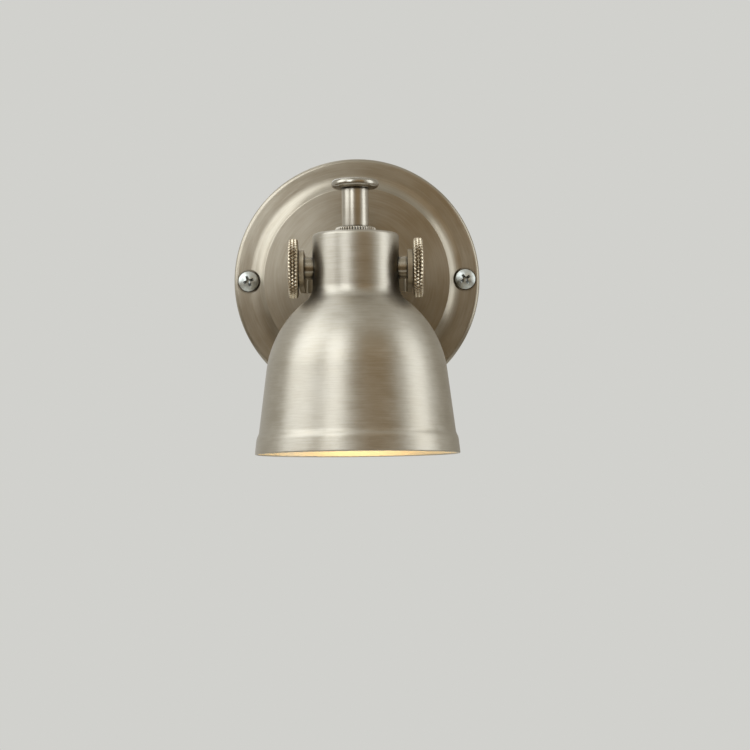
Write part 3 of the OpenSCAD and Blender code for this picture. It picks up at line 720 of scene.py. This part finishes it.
class WALLLIGHT_OT_plate_screws(Operator):
    """Make the two pan-head screws with their cross recesses and threads"""
    bl_idname = "walllight.plate_screws"
    bl_label = "Plate screws"

    def execute(self, context):
        plate = context.scene.wall_light_plate
        bm = bmesh.new()
        for spot, turn in zip(screw_spots(plate), (20, 35)):
            screw = self.screw(plate, context.scene.wall_light_knurl.screw_pitch)
            screw.data.transform(Matrix.Translation(spot + OUT * plate.flange_height)
                                 @ Matrix.Rotation(math.radians(-turn), 4, "Y"))
            bm.from_mesh(screw.data)
            bpy.data.objects.remove(screw)
        name = "plate_screws_cross"
        both = linked(name, smoothed(mesh_from(name, bm), 35))
        place(both, "zinc screw", "plate_screws")
        return {"FINISHED"}

    def screw(self, plate, pitch):
        radius, height = plate.head_diameter / 2, plate.head_height
        dome, rim = 1.6 * radius, 0.2 * MM
        low_edge = height - dome + math.sqrt(dome ** 2 - radius ** 2)
        end, thread_end, neck = -plate.screw_length, -3.5 * MM, 0.42 * plate.screw_diameter
        points, radius_at = wood_thread(plate.screw_diameter / 2, 1.4 * plate.screw_diameter, end,
                                        thread_end, pitch)
        outline = [(0, end)] + points + [(neck, thread_end), (neck, 0)]
        outline += [(radius - rim, 0), (radius, rim), (radius, low_edge)]
        slope = math.degrees(math.atan2(low_edge - height + dome, radius))
        outline += arc((0, height - dome), dome, slope, 90, 4)[1:-1] + [(0, height)]
        body = turned("screw", outline, OUT, Vector(), 64, closed=False, radius_at=radius_at)
        cut(body, *self.cross(plate, height))
        return body

    def cross(self, plate, height):
        """Two tapered blades and a small cone, which make the recess."""
        tools = []
        long, wide, deep = plate.recess_length / 2, plate.recess_width / 2, plate.recess_depth
        floor = height - deep
        for turn in (0, 90):
            bm = bmesh.new()
            bottom, top = ([bm.verts.new((x * reach, -level, z * half))
                            for x, z in ((-1, -1), (1, -1), (1, 1), (-1, 1))]
                           for level, reach, half in ((floor, long * 0.42, wide * 0.7),
                                                      (height + 0.3 * MM, long * 1.09, wide * 1.1)))
            bm.faces.new(bottom)
            bm.faces.new(top)
            for i in range(4):
                j = (i + 1) % 4
                bm.faces.new((bottom[i], bottom[j], top[j], top[i]))
            bmesh.ops.recalc_face_normals(bm, faces=bm.faces)
            bmesh.ops.rotate(bm, verts=bm.verts, matrix=Matrix.Rotation(math.radians(turn), 3, "Y"))
            tools.append(linked("blade", smoothed(mesh_from("blade", bm))))
        above = height + 0.4 * MM
        centre = [(0, floor - 0.25 * MM), (wide * 1.1, floor), (wide * 1.9, height),
                  (wide * 2.0, above), (0, above)]
        tools.append(turned("cone", centre, OUT, Vector(), 32, closed=False))
        return tools


class WALLLIGHT_OT_standoff(Operator):
    """Turn the round spacer and thread the tube that holds plate, spacer and yoke together"""
    bl_idname = "walllight.standoff"
    bl_label = "Spacer and threaded tube"

    def execute(self, context):
        low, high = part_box("standoff_post")
        start, end = -high.y, -low.y
        outline = [(TUBE_HOLE, start)] + round_edged(high.x, start, end, 0.8 * MM)
        post = turned("spacer", outline + [(TUBE_HOLE, end)], OUT, WALL_CENTRE)
        place(post, "post nickel", "standoff_post")
        low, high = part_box("threaded_tube")
        threaded_pipe("threaded_tube", OUT, WALL_CENTRE, -high.y, -low.y)
        return {"FINISHED"}


class WALLLIGHT_OT_yoke(Operator):
    """Round the edges of the flat yoke and of the collars between it and the neck"""
    bl_idname = "walllight.yoke"
    bl_label = "Yoke and collars"

    def execute(self, context):
        softened("yoke", "strip nickel", 0.35 * MM, 3)
        for side in ("left", "right"):
            softened("pivot_boss_" + side, "collar nickel", 0.18 * MM)
        return {"FINISHED"}


class WALLLIGHT_OT_fixings(Operator):
    """Round the edges of the nuts, washers and the earth tag"""
    bl_idname = "walllight.fixings"
    bl_label = "Nuts, washers and earth tag"

    def execute(self, context):
        for node in ("plate_nut", "yoke_nut", "holder_nut"):
            softened(node, "zinc plate", 0.2 * MM)
        for node in ("tooth_washer", "yoke_washer"):
            softened(node, "zinc plate", 0.1 * MM)
        softened("earth_tag", "turned brass", 0.1 * MM)
        return {"FINISHED"}


class WALLLIGHT_OT_bushes(Operator):
    """Round the edges of the tube's bushes and of the rubber grommet in the neck"""
    bl_idname = "walllight.bushes"
    bl_label = "Bushes and grommet"

    def execute(self, context):
        for node in ("tube_bush_back", "tube_bush_front"):
            softened(node, "white plastic", 0.18 * MM)
        softened("neck_grommet", "black rubber", 0.35 * MM, 3)
        return {"FINISHED"}


def shade_face(shade, depth):
    """The shade's face at a depth under its outside, from the hole in the neck to the mouth."""
    neck, corner = shade.neck_radius, shade.corner_radius
    taper, lean, lip = shade.taper_angle, shade.taper_angle + shade.flare_angle, shade.lip_angle
    belly = (shade.taper_radius - shade.shoulder_radius * math.cos(taper),
             -shade.taper_depth - shade.shoulder_radius * math.sin(taper))
    fillet_x = neck + shade.fillet_radius
    fillet_z = belly[1] + math.sqrt((shade.shoulder_radius + shade.fillet_radius) ** 2
                                    - (fillet_x - belly[0]) ** 2)
    slope = math.degrees(math.atan2(fillet_z - belly[1], fillet_x - belly[0]))
    bend = shade.flare_radius
    low = (shade.mouth_depth - shade.lip_height
           - bend * (2 * math.sin(lean) - math.sin(taper) - math.sin(lip)))
    side = shade.taper_radius + (low - shade.taper_depth) * math.tan(taper)
    flare = (side + bend * math.cos(taper), -low + bend * math.sin(taper))
    turn = (flare[0] - 2 * bend * math.cos(lean), flare[1] - 2 * bend * math.sin(lean))
    taper, lean, lip = (math.degrees(a) for a in (taper, lean, lip))
    points = [(TUBE_HOLE, shade.neck_top - depth)]
    points += arc((neck - corner, shade.neck_top - corner), corner - depth, 90, 0, 6)
    points += arc((fillet_x, fillet_z), shade.fillet_radius + depth, 180, 180 + slope, 3)
    points += arc(belly, shade.shoulder_radius - depth, slope, taper, 1.5)
    points += arc(flare, bend + depth, 180 + taper, 180 + lean, 3)
    points += arc(turn, bend - depth, lean, lip, 3)
    end = points[-1]
    bottom = -shade.mouth_depth + shade.sheet / 2
    for height in (bottom + 0.3 * MM, bottom):
        points.append((end[0] + (end[1] - height) * math.tan(math.radians(lip)), height))
    return points


class WALLLIGHT_OT_shade(Operator):
    """Spin the bell shade with its neck, flare and rounded lip"""
    bl_idname = "walllight.shade"
    bl_label = "Bell shade"

    def execute(self, context):
        shade = context.scene.wall_light_shade
        outer, inner = shade_face(shade, 0), shade_face(shade, shade.sheet)
        middle = ((outer[-1][0] + inner[-1][0]) / 2, outer[-1][1])
        edge = arc(middle, (outer[-1][0] - inner[-1][0]) / 2, 0, -180, 20)[1:-1]
        bell = turned("shade_bell", outer + edge + inner[::-1], Z, PIVOT, 256)
        collar_hole, grommet_hole, reach = 3.75 * MM, 3.65 * MM, 30 * MM
        cut(bell, rod(collar_hole, X, PIVOT, -reach, reach), rod(grommet_hole, Y, PIVOT, 0, reach),
            merge=False)
        place(bell, "shade nickel", "shade")
        bell.data.materials.append(surface("pale lining"))
        for face in bell.data.polygons:
            spoke = Vector((face.center.x, face.center.y - PIVOT.y, 0)).normalized()
            if face.normal.dot(spoke + 0.5 * Z) < -0.3 and face.center.z > outer[-1][1]:
                face.material_index = 1
        return {"FINISHED"}


class WALLLIGHT_OT_thumb_screws(Operator):
    """Turn and diamond-knurl the two thumb screws"""
    bl_idname = "walllight.thumb_screws"
    bl_label = "Thumb screws"

    def execute(self, context):
        knurl = context.scene.wall_light_knurl
        tip, head_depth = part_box("thumb_screw_left")[1].z, 5 * MM
        for side, axis in (("left", -X), ("right", X)):
            node = "thumb_screw_" + side
            start, end = sorted(abs(corner.x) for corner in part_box(node))
            screw = self.screw(node + "_knurled", knurl, axis, start, end, tip)
            place(screw, "knurled nickel", node)
            screw.data.materials.append(surface("face nickel"))
            for face in screw.data.polygons:
                if abs(face.normal.dot(axis)) > 0.9 and abs(face.center.x) > end - head_depth:
                    face.material_index = 1
        return {"FINISHED"}

    def screw(self, name, knurl, axis, start, end, tip):
        """A threaded shank and a knurled head, between two distances from the middle."""
        inner = end - knurl.head_width
        root = tip - knurl.depth
        face = root - 0.1 * MM
        chamfer = face - 0.3 * MM
        shank, shank_bevel, pitch = 2.5 * MM, 0.5 * MM, 0.8 * MM
        threaded = thread_radius(shank, 0.35 * MM, pitch, start)
        rings = knurl.rows * KNURL_STEPS

        def radius_at(radius, height, angle):
            if radius < root - CLOSE or height < inner:
                return threaded(radius, height, angle)
            along = ((height - inner) / knurl.head_width * knurl.rows - 0.5) / 2
            around = angle * knurl.diamonds / TAU
            rise = 1 - 2 * max(abs(v - round(v)) for v in (around + along, around - along))
            edge = min(height - inner, end - height)
            return min(root + knurl.depth * min(1.0, rise * 1.2), face + 0.95 * edge)

        points = [(0, start), (shank - shank_bevel, start)]
        points += thread_points(shank, start + shank_bevel, inner, pitch)
        points += [(shank, inner), (chamfer, inner)]
        points += [(tip, inner + knurl.head_width * i / rings) for i in range(rings + 1)]
        points += [(chamfer, end), (0, end)]
        return turned(name, points, axis, PIVOT, knurl.diamonds * KNURL_STEPS, closed=False,
                      crease=50, radius_at=radius_at)


class WALLLIGHT_OT_handle(Operator):
    """Turn the lock ring, the stem and the round cap of the aiming handle"""
    bl_idname = "walllight.handle"
    bl_label = "Lock ring, stem and cap"

    def execute(self, context):
        low = context.scene.wall_light_shade.neck_top
        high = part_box("ring_nut")[1].z - 0.35 * MM
        self.ring(context.scene.wall_light_knurl.ring_teeth, low, high)
        self.stem(high)
        self.cap()
        return {"FINISHED"}

    def ring(self, teeth, low, high):
        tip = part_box("ring_nut")[1].x
        root = tip - 0.6 * MM
        chamfer = root - 0.3 * MM
        rows = 12

        def radius_at(radius, height, angle):
            if radius < tip - CLOSE:
                return radius
            wave = zigzag(angle * teeth / TAU)
            edge = min(height - low, high - height)
            return min(root + (tip - root) * min(1.0, wave * 1.4), root + edge)

        outline = [(TUBE_HOLE, low), (chamfer, low)]
        outline += [(tip, low + (high - low) * i / rows) for i in range(rows + 1)]
        outline += [(chamfer, high), (TUBE_HOLE, high)]
        ring = turned("lock_ring", outline, Z, PIVOT, teeth * KNURL_STEPS, crease=50,
                      radius_at=radius_at)
        place(ring, "ring nickel", "ring_nut")

    def stem(self, low):
        """The stem, with a socket for the nipple below and a hole for the cap's plug above."""
        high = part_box("handle_stem")[1]
        socket_top, cap_hole, cap_hole_depth = low + 9 * MM, 3.1 * MM, 7 * MM
        outline = [(TUBE_HOLE, socket_top), (TUBE_HOLE, low)]
        outline += round_edged(high.x, low, high.z, 0.25 * MM)
        outline += [(cap_hole, high.z), (cap_hole, high.z - cap_hole_depth), (cap_hole, socket_top)]
        place(turned("stem", outline, Z, PIVOT), "handle nickel", "handle_stem")

    def cap(self):
        """The cap, a disc with a slight crown on a plug that fits the stem."""
        low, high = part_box("handle_cap")
        radius, under = high.x, low.z + 6 * MM
        rim, plug, plug_end, plug_bevel = 2.0 * MM, 3.0 * MM, 2.7 * MM, 0.3 * MM
        flat = radius - rim
        crown = high.z - under - 2 * rim
        sweep = (flat * flat + crown * crown) / (2 * crown)
        reach = math.degrees(math.asin(flat / sweep))
        outline = [(0, low.z), (plug_end, low.z), (plug, low.z + plug_bevel), (plug, under)]
        outline += arc((flat, under + rim), rim, -90, 90, 7.5)
        outline += arc((0, high.z - sweep), sweep, 90 - reach, 90, 0.4)[1:-1] + [(0, high.z)]
        cap = turned("cap", outline, Z, PIVOT, 160, closed=False, crease=40)
        place(cap, "cap nickel", "handle_cap")


class WALLLIGHT_OT_lampholder(Operator):
    """Make the lampholder: nipple, strap, screws, porcelain body, threaded shell and tongue"""
    bl_idname = "walllight.lampholder"
    bl_label = "Lampholder"

    def execute(self, context):
        low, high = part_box("holder_nipple")
        threaded_pipe("holder_nipple", Z, PIVOT, low.z, high.z)
        softened("holder_strap", "zinc plate", 0.15 * MM)
        softened("holder_screws", "zinc plate", 0.15 * MM)
        softened("holder_body", "glazed porcelain", 0.4 * MM, 3)
        low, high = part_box("holder_shell")
        knuckle_sleeve("holder_shell", "turned brass", high.x, 0.2 * MM, low.z, high.z)
        softened("holder_tongue", "spring bronze", 0.06 * MM)
        return {"FINISHED"}


class WALLLIGHT_OT_lamp(Operator):
    """Blow the opal lamp and make its threaded cap and contact"""
    bl_idname = "walllight.lamp"
    bl_label = "Lamp"

    def execute(self, context):
        self.glass()
        low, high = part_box("bulb_cap")
        inset = 1.2 * MM
        knuckle_sleeve("bulb_cap", "zinc plate", high.x, 0.2 * MM, low.z, high.z - inset,
                       [(high.x - inset, high.z)])
        softened("bulb_insulator", "dark glass", 0.12 * MM)
        softened("bulb_contact", "solder", 0.2 * MM)
        return {"FINISHED"}

    def glass(self):
        low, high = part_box("bulb_globe")
        radius, neck, blend, wall = high.x, 6.4 * MM, 16 * MM, 0.9 * MM
        centre = low.z + radius
        side = neck + blend
        level = centre + math.sqrt((radius + blend) ** 2 - side ** 2)
        slope = math.degrees(math.atan2(level - centre, side))
        outside = [(0, centre - radius)] + arc((0, centre), radius, -90, slope, 3)[1:]
        outside += arc((side, level), blend, 180 + slope, 180, 3)[1:] + [(neck, high.z)]
        inside = [(neck - wall, high.z)]
        inside += arc((side, level), blend + wall, 180, 180 + slope, 3)
        inside += arc((0, centre), radius - wall, slope, -90, 3)[1:-1]
        inside.append((0, centre - radius + wall))
        globe = turned("lamp_glass", outside + inside, Z, PIVOT, closed=False)
        place(globe, "opal glass", "bulb_globe")


def towards(bearing, rise=0.0):
    """The direction at a bearing from the front and a height angle, both in radians."""
    return Vector((math.sin(bearing) * math.cos(rise), -math.cos(bearing) * math.cos(rise),
                   math.sin(rise)))


class WALLLIGHT_OT_stage(Operator):
    """Set up the camera, the soft lamps, the pale floor and the background"""
    bl_idname = "walllight.stage"
    bl_label = "Stage"

    def execute(self, context):
        stage = context.scene.wall_light_stage
        self.camera(context, stage)
        self.background(context, stage)
        self.floor(stage)
        self.lamps(stage)
        self.cards(stage)
        context.scene.view_settings.view_transform = "Standard"
        return {"FINISHED"}

    def camera(self, context, stage):
        data = bpy.data.cameras.new("photo camera")
        data.lens = stage.lens
        data.sensor_width = 36
        data.clip_start = 10 * MM
        camera = linked("photo camera", data)
        turn = (Matrix.Rotation(-stage.camera_yaw, 4, "Z")
                @ Matrix.Rotation(math.radians(90) + stage.camera_pitch, 4, "X")
                @ Matrix.Rotation(stage.camera_roll, 4, "Z"))
        camera.matrix_world = Matrix.Translation(stage.camera_place) @ turn
        context.scene.camera = camera

    def background(self, context, stage):
        world = bpy.data.worlds.new("pale surround")
        world.use_nodes = True
        context.scene.world = world
        world.node_tree.nodes["Background"].inputs["Color"].default_value = (*stage.backdrop, 1)

    def floor(self, stage):
        """A round floor that fades out at its edge and can't be seen from below."""
        bm = bmesh.new()
        bmesh.ops.create_circle(bm, cap_ends=True, segments=96, radius=stage.floor_radius)
        floor = linked("floor", mesh_from("floor", bm))
        floor.location = (0, PIVOT.y / 2, -stage.floor_drop)
        material, tree, shader = new_material("pale floor")
        feed(tree, shader, {"Base Color": (*stage.floor_colour, 1), "Roughness": 0.8})
        radius = vector_math(tree, "LENGTH", object_place(tree))
        fade = remap(tree, radius, stage.floor_radius * 0.55, stage.floor_radius * 0.98)
        below = add_node(tree, "ShaderNodeNewGeometry").outputs["Backfacing"]
        clear = add_node(tree, "ShaderNodeBsdfTransparent")
        mix = add_node(tree, "ShaderNodeMixShader", {
            0: maths(tree, "MAXIMUM", fade, below), 1: shader.outputs[0], 2: clear.outputs[0]})
        feed(tree, tree.nodes["Material Output"], {"Surface": mix.outputs[0]})
        dress(floor, material)

    def lamps(self, stage):
        """Soft boxes round the light: bearing from the front, height angle, distance, size and
        power of each."""
        boxes = {
            "left front": (-28, 28, 1.5, (0.60, 1.40), 8.8),
            "left side": (-75, 31, 1.5, (1.10, 1.45), 12.7),
            "high rear left": (-130, 66, 1.5, (0.6, 0.6), 1.3),
            "right side": (82, 12, 1.5, (0.80, 1.7), 8.2),
            "back": (180, 25, 1.6, (0.9, 0.9), 2.5),
        }
        for name, (bearing, rise, distance, size, power) in boxes.items():
            data = bpy.data.lights.new(name, "AREA")
            data.shape = "RECTANGLE"
            data.size, data.size_y = size
            data.energy = power
            data.color = stage.lamp_colour
            lamp = linked(name, data)
            direction = towards(math.radians(bearing), math.radians(rise))
            lamp.location = PIVOT + direction * distance
            lamp.rotation_euler = direction.to_track_quat("Z", "Y").to_euler()
            lamp.visible_camera = False

    def cards(self, stage):
        """Curved cards round the light, which only the shiny surfaces see. A card has rows of
        points, each with a distance, a height and how far it rises at the right."""
        foot, far, back_far, back_top, low_far = -0.5, stage.card_distance, 1.15, 1.2, 0.95
        near = 0.99 * far
        left, right = stage.card_from, stage.card_to
        rise = stage.card_high_top - stage.card_low_top
        bowl = [(low_far * math.cos(math.radians(level)), low_far * math.sin(math.radians(level)), 0)
                for level in (-16, -24, -36, -50, -66, -84)]
        for name, colour, start, end, rows in (
                ("brown card", stage.card_colour, left, right,
                 [(far, foot, 0), (far, stage.card_low_top, rise)]),
                ("lower brown card", shaded(stage.card_colour, 0.44), left, right,
                 [(near, foot, 0), (near, 0.13, 0)]),
                ("left brown card", shaded(stage.card_colour, 0.6), math.radians(-80), left,
                 [(far, foot, 0), (far, 0.10, 0)]),
                ("back card", stage.back_card_colour, math.radians(122), math.radians(178),
                 [(back_far, foot, 0), (back_far, back_top, 0)]),
                ("low card", stage.low_card_colour, math.radians(-125), math.radians(125), bowl)):
            self.card(name, colour, start, end, rows)

    def card(self, name, colour, start, end, rows):
        """A card between two bearings. Its rows rise within 12 degrees right of the middle."""
        bm = bmesh.new()
        columns, steps = [], 32
        for i in range(steps + 1):
            bearing = start + (end - start) * i / steps
            risen = min(1, max(0, bearing / math.radians(12)))
            columns.append([bm.verts.new(PIVOT + towards(bearing) * reach
                                         + Z * (height + rise * risen))
                            for reach, height, rise in rows])
        for left, right in zip(columns, columns[1:]):
            for k in range(len(rows) - 1):
                bm.faces.new((left[k], right[k], right[k + 1], left[k + 1]))
        card = linked(name, mesh_from(name, bm))
        material, tree, shader = new_material(name)
        feed(tree, shader, {"Base Color": (*colour, 1), "Roughness": 0.9})
        dress(card, material)
        for view in ("camera", "shadow", "diffuse", "transmission"):
            setattr(card, "visible_" + view, False)


OPERATORS = (
    WALLLIGHT_OT_plate, WALLLIGHT_OT_plate_screws, WALLLIGHT_OT_standoff, WALLLIGHT_OT_yoke,
    WALLLIGHT_OT_fixings, WALLLIGHT_OT_bushes, WALLLIGHT_OT_shade, WALLLIGHT_OT_thumb_screws,
    WALLLIGHT_OT_handle, WALLLIGHT_OT_lampholder, WALLLIGHT_OT_lamp, WALLLIGHT_OT_stage,
)
GROUPS = {
    "wall_light_finish": LightFinish, "wall_light_shade": LightShade,
    "wall_light_plate": LightPlate, "wall_light_knurl": LightKnurl,
    "wall_light_stage": LightStage,
}


class WALLLIGHT_PT_pieces(Panel):
    bl_label = "Wall light"
    bl_idname = "WALLLIGHT_PT_pieces"
    bl_space_type = "VIEW_3D"
    bl_region_type = "UI"
    bl_category = "Wall light"

    def draw(self, context):
        for operator in OPERATORS:
            self.layout.operator(operator.bl_idname)
        for name, group in GROUPS.items():
            for key in group.__annotations__:
                self.layout.prop(getattr(context.scene, name), key)


CLASSES = (*GROUPS.values(), *OPERATORS, WALLLIGHT_PT_pieces)


def register():
    for cls in CLASSES:
        bpy.utils.register_class(cls)
    for name, group in GROUPS.items():
        setattr(bpy.types.Scene, name, PointerProperty(type=group))


def unregister():
    for name in reversed(GROUPS):
        delattr(bpy.types.Scene, name)
    for cls in reversed(CLASSES):
        bpy.utils.unregister_class(cls)


def main():
    register()
    for operator in OPERATORS:
        group, name = operator.bl_idname.split(".")
        getattr(getattr(bpy.ops, group), name)()


if __name__ == "__main__":
    main()
